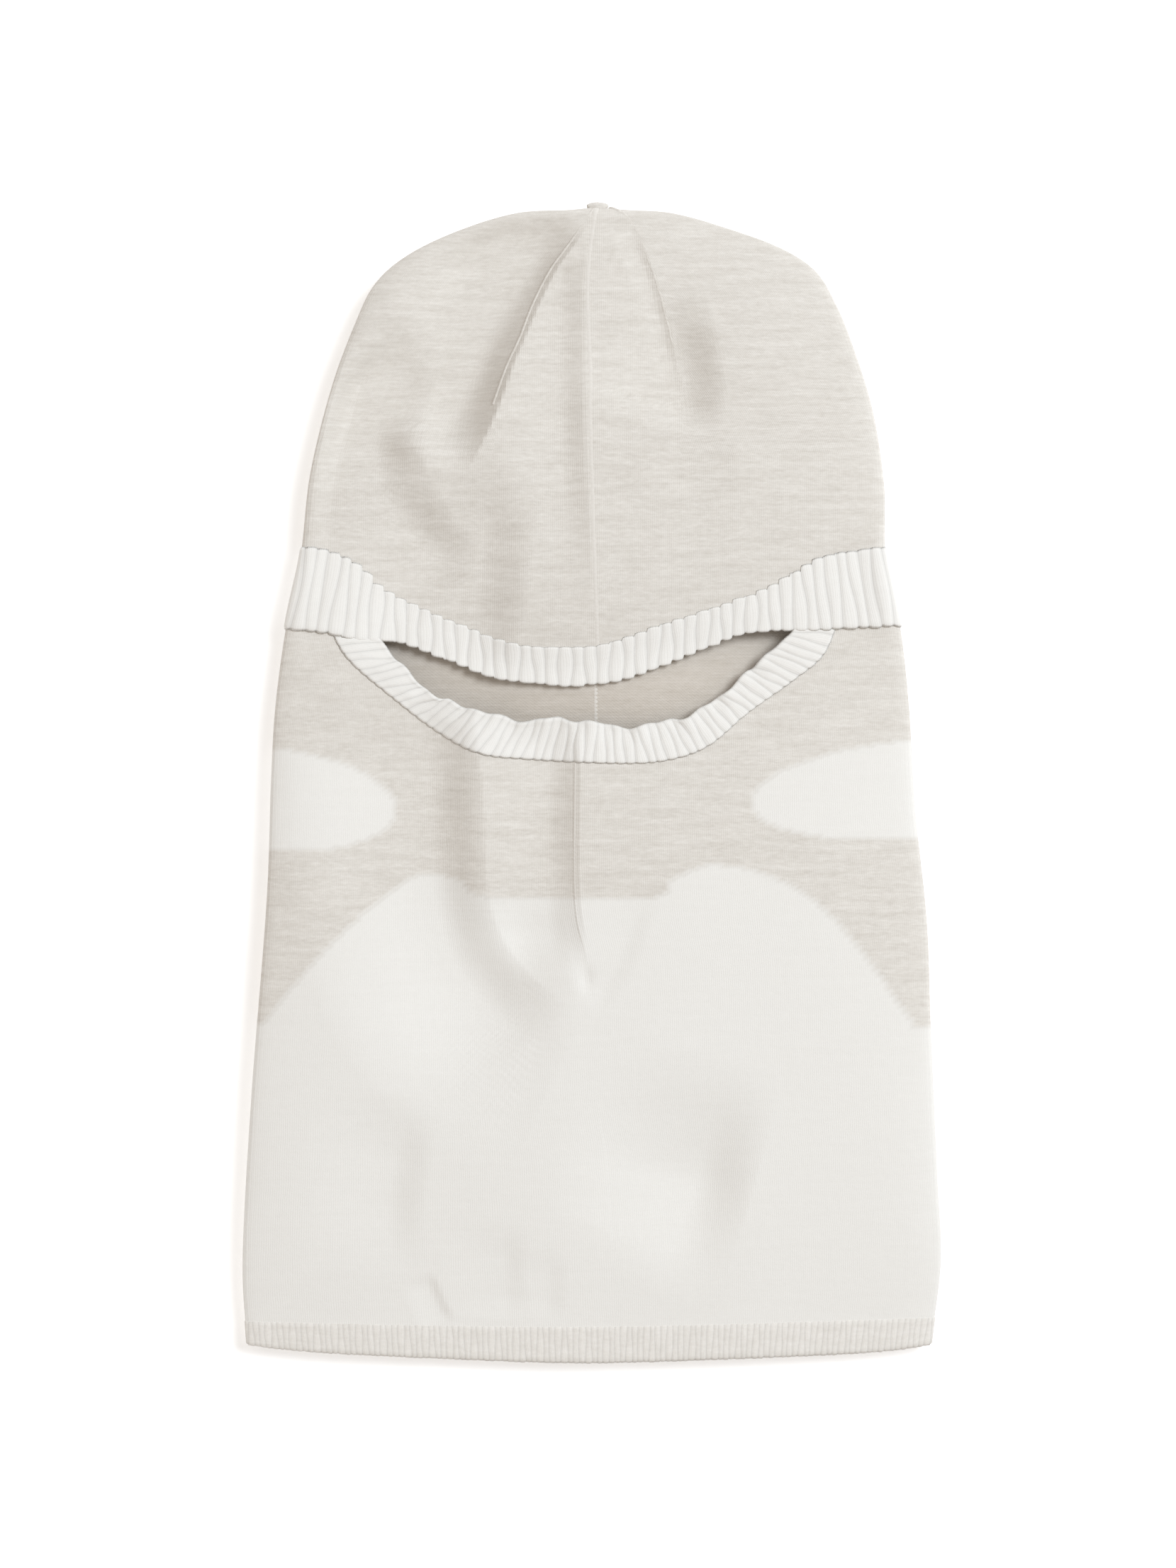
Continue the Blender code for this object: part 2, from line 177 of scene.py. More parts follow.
# %% Creases in the front layer
# Each is the line of its crest, from the top down, then how far the cloth falls on the walker's
# right hand, how wide that fall is, how sharp the crest is from 0 to 1, and the share of the line
# over which each end fades.
CREASES = (
    # the crown: a deep crease from the tip down the left, then a soft dent that curls in
    ([(4, 211), (-4.5, 198.5), (-12.3, 187.5), (-18.6, 174.5), (-23.3, 163.3), (-28, 152),
      (-33.3, 137), (-40.7, 121), (-48, 109)], 13.4, 16.0, 0.7, (0.15, 0.22)),
    ([(-50, 166), (-54.5, 155), (-57.5, 143), (-59.5, 131), (-59.5, 118), (-55, 107), (-47, 99)],
     12.0, 19.0, 0.1, (0.4, 0.6)),
    ([(-58, 114), (-52, 102), (-44, 93), (-35, 85)], 5.4, 17.0, 0.0, (0.4, 0.4)),
    ([(-13, 112), (-17, 98), (-20, 84), (-22, 68), (-25, 50), (-27, 34)], 6.0, 20.0, 0.0,
     (0.4, 0.15)),
    # beside the seam
    ([(1, 206), (-2, 185), (-2, 149), (-1, 114), (1, 80), (2, 52)], 2.8, 9.0, 0.6, (0.3, 0.5)),
    # the right: a dent outside the shaping line, ending in a small bump
    ([(36, 194), (43, 178), (48, 163), (50.5, 149), (50, 136), (46, 122)], 6.2, 17.0, 0.0,
     (0.45, 0.2)),
    ([(15, 207), (19, 199), (25.5, 181), (32, 156), (35, 140)], 0.9, 3.0, 0.5, (0.2, 0.4)),
    ([(92, 178), (98, 160), (100, 146)], 0.8, 6.0, 0.0, (0.4, 0.4)),
    # the lower face: a crease beside the seam and a pouch that hangs below the chin
    ([(-3, 26), (-3.6, 0), (-3.8, -20), (-3.6, -42), (-2, -58), (0, -70)], 4.4, 12.0, 0.7,
     (0.1, 0.3)),
    ([(-46, 44), (-42, 22), (-39, 0), (-38, -24), (-36.5, -42), (-32, -57), (-23, -69),
      (-12, -78), (0, -84)], 8.6, 20.0, 0.3, (0.2, 0.35)),
    ([(-8, -34), (-9, -48), (-8, -60), (-5, -72), (1, -82)], 3.4, 20.0, 0.2, (0.4, 0.4)),
    ([(29, -36), (24, -50), (17, -68), (10, -80), (3, -88)], 0.8, 7.0, 0.0, (0.4, 0.3)),
    # slack at the neck, and gathers into the hem
    ([(71, -104), (66.5, -125), (61, -146), (56, -163), (50, -180), (42, -197)], 7.4, 21.0, 0.2,
     (0.5, 0.6)),
    ([(-53, -116), (-57, -138), (-60, -158), (-60, -182)], 2.2, 14.0, 0.0, (0.4, 0.4)),
    ([(-57, -178), (-53, -189), (-48, -198)], 1.0, 4.0, 0.2, (0.3, 0.3)),
    ([(-21, -160), (-22, -180), (-21, -198)], 1.1, 10.0, 0.0, (0.4, 0.3)),
    ([(-7, -170), (-8, -199)], 0.7, 8.0, 0.0, (0.4, 0.3)),
)
SLOW_RISE = 2.6  # the climb back out takes this many times the width of the fall
# the spot where the lower seam is tacked, and a low bump where a fold runs out, as x and y
TACK, BUMP = (-1.2, -71.5), (54, 119)
TACK_DEPTH, BUMP_HEIGHT, OPENING_SINK = 0.7, 0.9, 5.8


def beside_line(points, x, y):
    """Distance from a line, positive on the walker's right hand, and the share of it walked."""
    line = spline(points, 12)
    best = np.full(x.shape, 1e9)
    hand = np.zeros(x.shape)
    share = np.zeros(x.shape)
    steps = len(line) - 1
    for i, (a, b) in enumerate(zip(line, line[1:])):
        d = b - a
        t = np.clip(((x - a[0]) * d[0] + (y - a[1]) * d[1]) / (d @ d), 0, 1)
        off_x, off_y = x - a[0] - t * d[0], y - a[1] - t * d[1]
        far = np.hypot(off_x, off_y)
        nearer = far < best
        best = np.where(nearer, far, best)
        hand = np.where(nearer, np.sign(d[1] * off_x - d[0] * off_y), hand)
        share = np.where(nearer, (i + t) / steps, share)
    return best * hand, share


def smooth(t):
    """0 up to t = 0, 1 from t = 1 on, and an easy slope between."""
    t = np.clip(t, 0, 1)
    return t * t * (3 - 2 * t)


def slack(x, y):
    """The slow unevenness of cloth that nobody smoothed out."""
    wave = 0.35 * np.sin(x / 23 + 1.3) * np.sin(y / 31 + 0.4)
    wave += 0.22 * np.sin(x / 11 - y / 17) * np.sin(y / 13 + 2.0)
    return wave


def relief(x, y):
    """How far the front layer stands above or below a smooth dome."""
    height = slack(x, y)
    for points, depth, width, sharp, (fade_in, fade_out) in CREASES:
        distance, share = beside_line(points, x, y)
        strength = smooth(share / fade_in) * smooth((1 - share) / fade_out)
        t = distance / width
        fall = (1 - sharp) * smooth(t) + sharp * (1 - (1 - np.clip(t, 0, 1)) ** 2)
        height = height - depth * strength * (fall - smooth((t - 1) / SLOW_RISE))
    tack = np.hypot(x - TACK[0], (y - TACK[1]) / 2)
    height = height - TACK_DEPTH * np.exp(-((tack / 2.4) ** 2))
    bump = np.hypot(x - BUMP[0], y - BUMP[1])
    height = height + BUMP_HEIGHT * np.exp(-((bump / 9) ** 2))
    # the front sinks towards the back around the face opening, which curves up at its ends
    opening = np.hypot(x / 130, (y - 34 - 0.0035 * x * x) / 29)
    return height - OPENING_SINK * np.exp(-(opening**2) * 1.6)


sample = np.linspace(-100, 100, 5)
print("relief above the brow band:", np.round(relief(sample, np.full(5, 100.0)), 2))

# %% [markdown]
# ## The skin
#
# A point on the tube is named by two numbers: y, along the length, and s, round it. s is 0 on the
# front seam, 1 at the side fold and 2 on the back seam, and it is negative on the left. Steps in s
# are even along the cloth, so a column of stitches is simply a line of constant s.

# %% A point on the skin for any (s, y)
FLATNESS = 0.2  # a section's shape: 1 is an ellipse, and a smaller number is flatter on top
BACK_LIFT = 1.0  # the jersey's back lies this far up, because the bands are thicker
LAST_ROW = 0.12  # the crown's front and back meet this far below the tip
ARCH_HEIGHT = 6.5
HALF_WIDTH, RISE = 118, 12  # of a typical section, from its middle to its side fold
angles = np.linspace(math.pi / 2, 0, 4000)
typical = np.stack([HALF_WIDTH * np.cos(angles), RISE * np.sin(angles) ** FLATNESS])
lengths = np.concatenate([[0], np.cumsum(np.hypot(*np.diff(typical, axis=1)))])
# the cloth's lengths round one half of a section: over the front, round the fold, under the back
FRONT_MM, FOLD_MM, BACK_MM = lengths[-1], FOLD * math.pi / 2, 112.0
FOLD_SHARE = FOLD_MM / (FOLD_MM + BACK_MM)


def half_width(y):
    """The middle of the tube at y, and the distance from there to either side."""
    return (left_side(y) + right_side(y)) / 2, np.maximum((right_side(y) - left_side(y)) / 2, 0.4)


def tip_rounding(y):
    """1 along the tube, falling to 0 in a quarter circle at the tip."""
    near = np.clip((y - (TIP - FOLD)) / (FOLD - LAST_ROW), 0, 0.99999)
    return np.sqrt(1 - near * near)


def front_height(x, y):
    """How high the front layer stands at (x, y)."""
    middle, half = half_width(y)
    share = np.clip(np.abs(x - middle) / half, 0, 1)
    flat = (1 - share**2) ** (FLATNESS / 2)
    # creases die out towards the side fold, over a wider margin on the crown, and at the tip
    margin = 0.10 + 0.3 * smooth((y - 140) / 60)
    calm = smooth((1 - share) / margin) * smooth((TIP - y) / 22)
    height = FOLD + ((dome(y) - FOLD) * flat + relief(x, y) * calm) * tip_rounding(y)
    # where a crease would reach the back layer, the front settles on it softly
    lowest = FOLD + arch(x, y) * smooth((1 - share) / 0.15)
    give = 0.02 + 1.5 * smooth((1 - share) / 0.3) * smooth((TIP - y) / 15)
    return lowest + give * np.logaddexp(0, (height - lowest) / give)


def arch(x, y):
    """How far the back is lifted off the table, behind the face opening."""
    return ARCH_HEIGHT * np.exp(-1.2 * (((x - 15) / 62) ** 2 + ((y - 36) / 30) ** 2))


def skin(s, y, seam=crown_seam):
    """The point of the tube at s round it and y along it, as an array of (x, y, z)."""
    s, y = np.broadcast_arrays(np.asarray(s, float), np.asarray(y, float))
    hand, reach = np.where(s < 0, -1.0, 1.0), np.abs(s)
    middle, half = half_width(y)
    # the front: even steps along a typical section, then slid over so that s = 0 is the seam
    share = np.interp(np.minimum(reach, 1) * FRONT_MM, lengths, typical[0] / HALF_WIDTH)
    slide = hand * (seam(y) - middle) / half
    front_x = middle + hand * half * (share + slide * (1 - share))
    front_z = front_height(front_x, y)
    # the fold and the back
    round_off = tip_rounding(y)
    corner = np.minimum(FOLD, half / 2)
    floor = FOLD - (FOLD - BACK_LIFT) * round_off
    past = np.clip(reach - 1, 0, 1)
    turn = np.clip(past / FOLD_SHARE, 0, 1) * math.pi / 2
    inward = np.clip((past - FOLD_SHARE) / (1 - FOLD_SHARE), 0, 1)
    back_x = middle + hand * (half - corner * (1 - np.cos(turn)) - (half - corner) * inward)
    back_x = back_x + (BACK_SEAM_X - middle) * inward
    back_z = FOLD - (FOLD - floor) * np.sin(turn) + arch(back_x, y) * smooth(inward / 0.25)
    under = reach > 1
    return np.stack([np.where(under, back_x, front_x), y, np.where(under, back_z, front_z)], -1)


def outward(points):
    """The skin's normals at a grid of its points, whose rows run along y and columns along s."""
    du, dv = np.gradient(points, axis=1), np.gradient(points, axis=0)
    normal = np.cross(du, dv)
    return normal / np.maximum(np.linalg.norm(normal, axis=-1, keepdims=True), 1e-9)


print("from seam to fold is", round(FRONT_MM, 1), "mm of cloth")

# %% [markdown]
# ## Meshes
#
# Two helpers make every knitted piece. Both take a grid of points on the outer face of the cloth and
# another on its inner face, and close them along the edges, so a piece is a solid of real thickness.
# The first keeps only some of the grid's cells. A cell is one stitch, so where two yarns meet, the
# boundary steps from stitch to stitch, exactly as in real inlaid colour work.

# %% Close a grid of stitches into a solid
ROOT = "root"


def corners_of(grid):
    """The four corners of every cell, going round it."""
    return [grid[:-1, :-1], grid[:-1, 1:], grid[1:, 1:], grid[1:, :-1]]


def quads_of(grid):
    return np.stack(corners_of(grid), -1).reshape(-1, 4)


def new_object(name, points, faces, uvs, slots, materials, soft=True, rim=None):
    """A mesh from millimetre points and four-cornered faces, with a stitch coordinate per corner."""
    mesh = bpy.data.meshes.new(name)
    mesh.from_pydata((points * MM).tolist(), [], faces.tolist())
    layer = mesh.uv_layers.new(name="stitches")
    layer.data.foreach_set("uv", np.asarray(uvs, np.float32).ravel())
    layer = mesh.uv_layers.new(name="rim")
    beside = np.zeros(faces.size) if rim is None else rim[faces].ravel()
    layer.data.foreach_set("uv", np.repeat(beside, 2).astype(np.float32))
    for material in materials:
        mesh.materials.append(material)
    mesh.polygons.foreach_set("material_index", np.asarray(slots, np.int32))
    mesh.polygons.foreach_set("use_smooth", np.full(len(faces), soft))
    mesh.validate()
    obj = bpy.data.objects.new(name, mesh)
    bpy.context.scene.collection.objects.link(obj)
    return obj


def cells_to_solid(name, outer, inner, keep, uv, materials, flip=False, rim=None):
    """The kept cells of a grid as one closed piece. uv holds four corners for every cell, and rim
    says for every point of the grid whether another yarn's stitches touch it. Its faces are shaded
    flat, so that two pieces that share an edge shade alike there."""
    rows, columns = keep.shape
    index = np.arange((rows + 1) * (columns + 1)).reshape(rows + 1, columns + 1)
    corners = corners_of(index)
    quads = np.stack([c[keep] for c in corners], -1)
    cell_uv = uv[keep]
    faces, uvs = [quads, quads[:, ::-1] + index.size], [cell_uv, cell_uv[:, ::-1]]
    slots = [np.zeros(len(quads)), np.ones(len(quads))]
    padded = np.pad(keep, 1)
    sides = (
        (padded[:-2, 1:-1], 0, 1), (padded[1:-1, 2:], 1, 2),
        (padded[2:, 1:-1], 2, 3), (padded[1:-1, :-2], 3, 0),
    )
    for neighbour, a, b in sides:
        open_side = keep & ~neighbour
        first, second = corners[a][open_side], corners[b][open_side]
        faces.append(np.stack([second, first, first + index.size, second + index.size], -1))
        ends = uv[open_side]
        uvs.append(np.stack([ends[:, b], ends[:, a], ends[:, a], ends[:, b]], 1))
        slots.append(np.zeros(len(first)))
    faces, uvs, slots = np.concatenate(faces), np.concatenate(uvs), np.concatenate(slots)
    if flip:
        faces, uvs = faces[:, ::-1], uvs[:, ::-1]
    used, renumbered = np.unique(faces, return_inverse=True)
    points = np.concatenate([outer.reshape(-1, 3), inner.reshape(-1, 3)])[used]
    if rim is not None:
        rim = np.tile(rim.ravel(), 2)[used]
    piece = new_object(
        name, points, renumbered.reshape(faces.shape), uvs, slots, materials, soft=False, rim=rim)
    print(f"{name}: {int(keep.sum())} stitches, {len(faces)} faces")
    return piece


def no_corner_contacts(labels):
    """Turns a stitch over wherever two regions would touch at a corner only."""
    labels = labels.copy()
    for _ in range(4):
        a, b, c, d = labels[:-1, :-1], labels[:-1, 1:], labels[1:, :-1], labels[1:, 1:]
        crossed = ((a == d) & (a != b) & (a != c)) | ((b == c) & (b != a) & (b != d))
        for row, column in np.argwhere(crossed):
            labels[row, column] = labels[row, column + 1]
            labels[row + 1, column] = labels[row + 1, column + 1]
    return labels


def touching_another(labels):
    """For every point of the grid, 1 where stitches of two different pieces meet."""
    around = np.pad(labels, 1, mode="edge")
    four = np.stack(corners_of(around))
    high, low = four.max(0), np.where(four > 0, four, 99).min(0)
    return ((high != low) & (high > 0)).astype(float)


# %% Close a ribbed strip into a solid
def strip_to_solid(name, outer, inner, uv, materials, ring=False):
    """A grid whose two long edges are pinched shut. A ring also joins its last column to its first."""
    rows, columns = outer.shape[:2]
    index = np.arange(rows * columns).reshape(rows, columns)
    under = index + index.size
    under[0], under[-1] = index[0], index[-1]
    if ring:
        index, under = (np.concatenate([g, g[:, :1]], 1) for g in (index, under))
    faces, slots, uvs = [], [], []
    flat_uv = uv.reshape(-1, 2)
    uv_index = np.arange(uv.shape[0] * uv.shape[1]).reshape(uv.shape[:2])
    for grid, slot in ((index, 0), (under, 1)):
        quads, at = quads_of(grid), quads_of(uv_index)
        turned = slice(None, None, -1 if slot else 1)
        faces.append(quads[:, turned])
        uvs.append(flat_uv[at[:, turned]])
        slots.append(np.full(len(quads), slot))
    if not ring:
        for column, turned in ((0, 1), (-1, -1)):
            a, b = index[:-1, column], index[1:, column]
            c, d = under[1:, column], under[:-1, column]
            quads = np.stack([a, b, c, d], -1)[:, ::turned]
            faces.append(quads)
            uvs.append(np.zeros((len(quads), 4, 2)))
            slots.append(np.zeros(len(quads)))
    faces, uvs, slots = np.concatenate(faces), np.concatenate(uvs), np.concatenate(slots)
    used, renumbered = np.unique(faces, return_inverse=True)
    points = np.concatenate([outer.reshape(-1, 3), inner.reshape(-1, 3)])[used]
    piece = new_object(name, points, renumbered.reshape(faces.shape), uvs, slots, materials)
    print(f"{name}: {len(faces)} faces")
    return piece


# %% [markdown]
# ## Yarn and stitch
#
# Jersey shows columns of V-shaped loops on its face and rows of low bumps on its back. The stitches
# are about 1.4 mm wide, far too many to model, so they are drawn by the material: the stitch
# coordinate counts loops across and rows along, and a little arithmetic turns it into a height. The
# class below lets that arithmetic be written as ordinary sums.

# %% Shader maths as expressions
class Wire:
    """An output socket that can be added, multiplied or raised to a power like a number."""

    def __init__(self, tree, socket):
        self.tree, self.socket = tree, socket

    def math(self, operation, *others, swap=False):
        values = [self, *others]
        made = self.tree.nodes.new("ShaderNodeMath")
        made.operation = operation
        for slot, value in zip(made.inputs, values[::-1] if swap else values):
            feed(self.tree, slot, value)
        return Wire(self.tree, made.outputs[0])

    def __add__(self, other):
        return self.math("ADD", other)

    def __sub__(self, other):
        return self.math("SUBTRACT", other)

    def __mul__(self, other):
        return self.math("MULTIPLY", other)

    def __truediv__(self, other):
        return self.math("DIVIDE", other)

    def __pow__(self, other):
        return self.math("POWER", other)

    def __rsub__(self, other):
        return self.math("SUBTRACT", other, swap=True)

    __radd__, __rmul__ = __add__, __mul__

    def __abs__(self):
        return self.math("ABSOLUTE")


def feed(tree, slot, value):
    """Link a wire to a socket, or set a plain value on it."""
    if isinstance(value, Wire):
        tree.links.new(value.socket, slot)
    else:
        slot.default_value = value


def node(tree, kind, settings=(), output=0, **inputs):
    """Any other node: its type, its settings, and the values or wires of its sockets by name."""
    made = tree.nodes.new(kind)
    for key, value in dict(settings).items():
        setattr(made, key, value)
    for key, value in inputs.items():
        feed(tree, made.inputs[key.replace("_", " ")], value)
    return Wire(tree, made.outputs[output])


def mix(tree, factor, a, b):
    """A colour between a and b."""
    made = tree.nodes.new("ShaderNodeMix")
    made.data_type = "RGBA"
    for slot, value in ((0, factor), (6, a), (7, b)):
        feed(tree, made.inputs[slot], value)
    return Wire(tree, made.outputs[2])


def vector(tree, x, y, z=0.0):
    return node(tree, "ShaderNodeCombineXYZ", X=x, Y=y, Z=z)


def noise_at(tree, place, scale=1.0, detail=2.0, roughness=0.5):
    """A noise texture's value at a place."""
    return node(
        tree, "ShaderNodeTexNoise", Vector=place, Scale=scale, Detail=detail, Roughness=roughness)


# %% The height of a knitted surface, from its stitch coordinate
LOOP_DEPTH = 0.00007
FUZZ_SCALE, TUFT_SCALE = 1500.0, 420.0  # how fine the loose fibres and their clumps are
RIB_LOOPS = 3  # the stitch coordinate counts this many loops to a rib


def face_stitches(u, v):
    """Columns of Vs: 0 in the gaps between loops and 1 on top of the yarn."""
    legs = abs((u * (2 * math.pi)).math("SINE")) ** 0.55
    lean = abs(u.math("FRACT") - 0.5) * 1.8
    loops = abs(((v - lean) * math.pi).math("SINE")) ** 0.5
    return legs * (loops * 0.3 + 0.7)


def purl_stitches(u, v):
    """Rows of low interlocking bumps, as on the back of jersey."""
    wave = (u * (2 * math.pi)).math("SINE") * 0.22
    return abs(((v + wave) * math.pi).math("SINE")) ** 0.6


def knit_material(name, light, dark, streaks, purl=False, gap=0.3, ribbed=False, other=None):
    """Matte wool. light and dark are the yarn's own colours, streaks how strongly they vary, gap how
    much painted shade darkens the holes between loops, and other the yarn whose stray fibres cross a
    shared edge."""
    material = bpy.data.materials.new(name)
    material.use_nodes = True
    tree = material.node_tree
    shader = tree.nodes["Principled BSDF"]
    stitch = node(tree, "ShaderNodeUVMap", {"uv_map": "stitches"})
    u = node(tree, "ShaderNodeSeparateXYZ", Vector=stitch)
    v = Wire(tree, u.socket.node.outputs["Y"])
    place = node(tree, "ShaderNodeTexCoord", output="Object")
    fuzz = noise_at(tree, place, FUZZ_SCALE, 3.0, 0.7)
    tufts = noise_at(tree, place, TUFT_SCALE, 2.0, 0.6)
    # no two stitches are pulled quite alike
    wander = noise_at(tree, vector(tree, u * 0.23, v * 0.07, 9.0))
    pulled = u if ribbed else u + (wander - 0.5) * 0.7
    height = (purl_stitches if purl else face_stitches)(pulled, v + (tufts - 0.5) * 0.5)
    # flecks of darker fibre run along the rows, since one length of yarn makes a row
    streak = noise_at(tree, vector(tree, u * 0.07, v * 0.42), 1.0, 3.0, 0.65)
    fleck = noise_at(tree, vector(tree, u * 0.45, v * 1.1, 4.0))
    blend = ((streak - 0.5) * 1.7 + (fleck - 0.5) * 1.2 + (fuzz - 0.5) * 0.7) * streaks + 0.42
    yarn = mix(tree, blend.math("MINIMUM", 1.0).math("MAXIMUM", 0.0), (*light, 1), (*dark, 1))
    if other:
        rim_map = node(tree, "ShaderNodeUVMap", {"uv_map": "rim"})
        rim = node(tree, "ShaderNodeSeparateXYZ", Vector=rim_map)
        crossing = (rim * (0.35 + tufts * 0.5)).math("MINIMUM", 0.6)
        yarn = mix(tree, crossing, yarn, (*other, 1))
    # painted shade: the gaps between loops are darkened wherever the fuzz doesn't fill them
    patchy = noise_at(tree, vector(tree, u * 0.5, v * 0.25, 2.0))
    gaps = (1.0 - height) * (patchy * 0.5 + tufts * 0.3 - 0.24).math("MAXIMUM", 0.0) * gap
    shade = 1.0 - gaps
    if ribbed:
        # painted shade in the hollow between each rib and the next, on top of the real shade that the
        # ribbed shape casts
        painted_rib_shade = abs((u / RIB_LOOPS).math("FRACT") * 2 - 1) ** 4
        shade = shade * (1.0 - painted_rib_shade * 0.16)
    shaded = node(tree, "ShaderNodeVectorMath", {"operation": "SCALE"}, Vector=yarn, Scale=shade)
    bump = tree.nodes.new("ShaderNodeBump")
    bump.inputs["Strength"].default_value = 0.8
    bump.inputs["Distance"].default_value = LOOP_DEPTH
    feed(tree, bump.inputs["Height"], height + tufts * 1.2 + fuzz * 0.5)
    feed(tree, shader.inputs["Base Color"], shaded)
    feed(tree, shader.inputs["Normal"], Wire(tree, bump.outputs[0]))
    feed(tree, shader.inputs["Roughness"], fuzz * 0.12 + 0.84)
    shader.inputs["Specular IOR Level"].default_value = 0.15
    shader.inputs["Sheen Weight"].default_value = 0.25
    shader.inputs["Sheen Roughness"].default_value = 0.6
    return material


# a yarn's middle colour, for its stray fibres
OATMEAL, IVORY = (0.76, 0.735, 0.695), (0.85, 0.835, 0.80)
oatmeal = knit_material(
    "oatmeal_face", (0.82, 0.79, 0.742), (0.66, 0.623, 0.57), 0.9, other=IVORY)
oatmeal_purl = knit_material(
    "oatmeal_purl", (0.69, 0.64, 0.58), (0.57, 0.52, 0.455), 0.8, purl=True)
oatmeal_rib = knit_material(
    "oatmeal_rib", (0.91, 0.885, 0.845), (0.80, 0.77, 0.72), 0.8, gap=0.2, ribbed=True)
oatmeal_seam = knit_material(
    "oatmeal_seam", (0.80, 0.77, 0.725), (0.72, 0.685, 0.635), 0.5, gap=0.2)
ivory = knit_material(
    "ivory_face", (0.88, 0.867, 0.835), (0.84, 0.825, 0.79), 0.5, gap=0.15, other=OATMEAL)
ivory_purl = knit_material("ivory_purl", (0.85, 0.82, 0.77), (0.78, 0.74, 0.68), 0.4, purl=True)
ivory_rib = knit_material(
    "ivory_rib", (0.90, 0.888, 0.858), (0.87, 0.853, 0.82), 0.5, gap=0.2, ribbed=True)
print("materials:", [m.name for m in bpy.data.materials])

# %% [markdown]
# ## The lower tube
#
# Face, cheeks and neck are one stretch of jersey on each side of the seam, knitted in two yarns. The
# grid below has a cell for every stitch. Each stitch is given to a piece by where it lies, so the
# pale ovals and the pale peaks get the small steps that real inlaid shapes have.

# %% Give each stitch of the lower tube to a piece
WALE, COURSE = 1.43, 1.05  # width and height of a stitch
KNIT = 1.5  # thickness of the jersey
TUCK = 3.5  # how far jersey runs on under a band
LOWER_TOP = 66  # the grid's last row, above every edge that trims it


def cell_centres(grid):
    return sum(corners_of(grid)) / 4


def in_oval(x, y, centre, radii, tilt):
    """Whether (x, y) is inside an oval that is turned by tilt degrees."""
    turn = math.radians(tilt)
    dx, dy = x - centre[0], y - centre[1]
    a = dx * math.cos(turn) - dy * math.sin(turn)
    b = dx * math.sin(turn) + dy * math.cos(turn)
    return (a / radii[0]) ** 2 + (b / radii[1]) ** 2 < 1


def lower_labels(centres, reach, side):
    """0 for no cloth, 1 face, 2 cheek patch, 3 neck, for the middle of each cell."""
    x, y = centres[..., 0], centres[..., 1]
    front = reach <= 1
    over_chin = (x > -98) & (x < 92)
    face_top = np.where(over_chin, np.minimum(chin_bottom(x), brow_bottom(x)), brow_bottom(x))
    top = np.where(front, face_top, BROW_BACK[0]) + TUCK
    snow = np.where(front, snow_line(x), SNOW_BACK)
    labels = np.where(y < snow, 3, 1)
    labels = np.where(in_oval(x, y, *CHEEKS[side]), 2, labels)
    return np.where(y > top, 0, labels)


def stitch_columns(front_mm, back_mm):
    """s at every edge between columns of stitches, from the front seam round to the back seam."""
    front = np.linspace(0, 1, round(front_mm / WALE) + 1)
    back = np.linspace(1, 2, round(back_mm / WALE) + 1)
    return np.concatenate([front, back[1:]])


def grid_uv(rows, columns, side):
    """Stitch coordinates of each cell's four corners."""
    u, v = np.meshgrid(np.arange(columns + 1) * side, np.arange(rows + 1))
    both = np.stack([u, v], -1).astype(float)
    return np.stack(corners_of(both), 2)


PALE = {"cheek_patch", "neck"}
SIDES = (("left", -1), ("right", 1))
LOWER_END = float(hem_top(0)) - 3
for word, side in SIDES:
    s = stitch_columns(FRONT_MM, FOLD_MM + BACK_MM)
    rows = np.arange(round((LOWER_TOP - LOWER_END) / COURSE) + 1) * COURSE + LOWER_END
    points = skin(side * s[None, :] + np.where(s == 0, side * 1e-9, 0), rows[:, None], lower_seam)
    normals = outward(points) * side
    outer, inner = points, points - normals * KNIT
    reach = (s[:-1] + s[1:])[None, :] / 2
    labels = no_corner_contacts(lower_labels(cell_centres(points), reach, side))
    uv = grid_uv(len(rows) - 1, len(s) - 1, side)
    for number, part in ((1, "face"), (2, "cheek_patch"), (3, "neck")):
        yarns = (ivory, ivory_purl) if part in PALE else (oatmeal, oatmeal_purl)
        piece = cells_to_solid(
            f"{part}_{word}_knit", outer, inner, labels == number, uv, yarns, side < 0,
            touching_another(labels))
        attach(piece, ROOT)
        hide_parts(f"{part}_{word}")

# %% [markdown]
# ## The crown
#
# Each half of the hood closes towards the tip, so its rows crowd together along the outline there.
# The knitting is shaped by taking stitches away along a line on each side of the seam. Inside that
# line the columns of stitches run straight up. Outside it they lean over, and the two directions
# meet on the line. Only the stitch coordinate has to know that: the cloth itself is smooth.

# %% Knit the crown's two halves
CROWN_START, LEAN_START, LEAN_RUN, LEAN = 36, 95, 60, 0.75
CROWN_ROW = 1.15  # a row's height along the outline
CROWN_FRONT_MM, CROWN_BACK_MM = 108, 102  # a half's width over the front, and under the back
# the line on each side of the seam where stitches are taken away
SHAPING = {
    -1: ((2, 211), (-6, 199), (-14, 188), (-20.5, 175), (-25, 163), (-30, 152), (-35, 138)),
    1: ((7, 212), (14.3, 207), (18.9, 198.6), (22.6, 189.3), (25.4, 181), (28.2, 170.8),
        (31.9, 155.9), (33.8, 144.8)),
}


def crown_rows():
    """y of each row: even steps along the outline, so they close up towards the tip."""
    y = np.linspace(CROWN_START, TIP - LAST_ROW, 6000)
    edge = np.hypot(np.gradient(y), np.gradient(right_side(y)))
    distance = np.cumsum(edge)
    steps = np.linspace(distance[0], distance[-1], round(distance[-1] / CROWN_ROW))
    return np.interp(steps, distance, y)


def lean_at(y):
    """How far the columns lean over for each millimetre up, outside the shaping line."""
    return smooth((y - LEAN_START) / LEAN_RUN) * LEAN


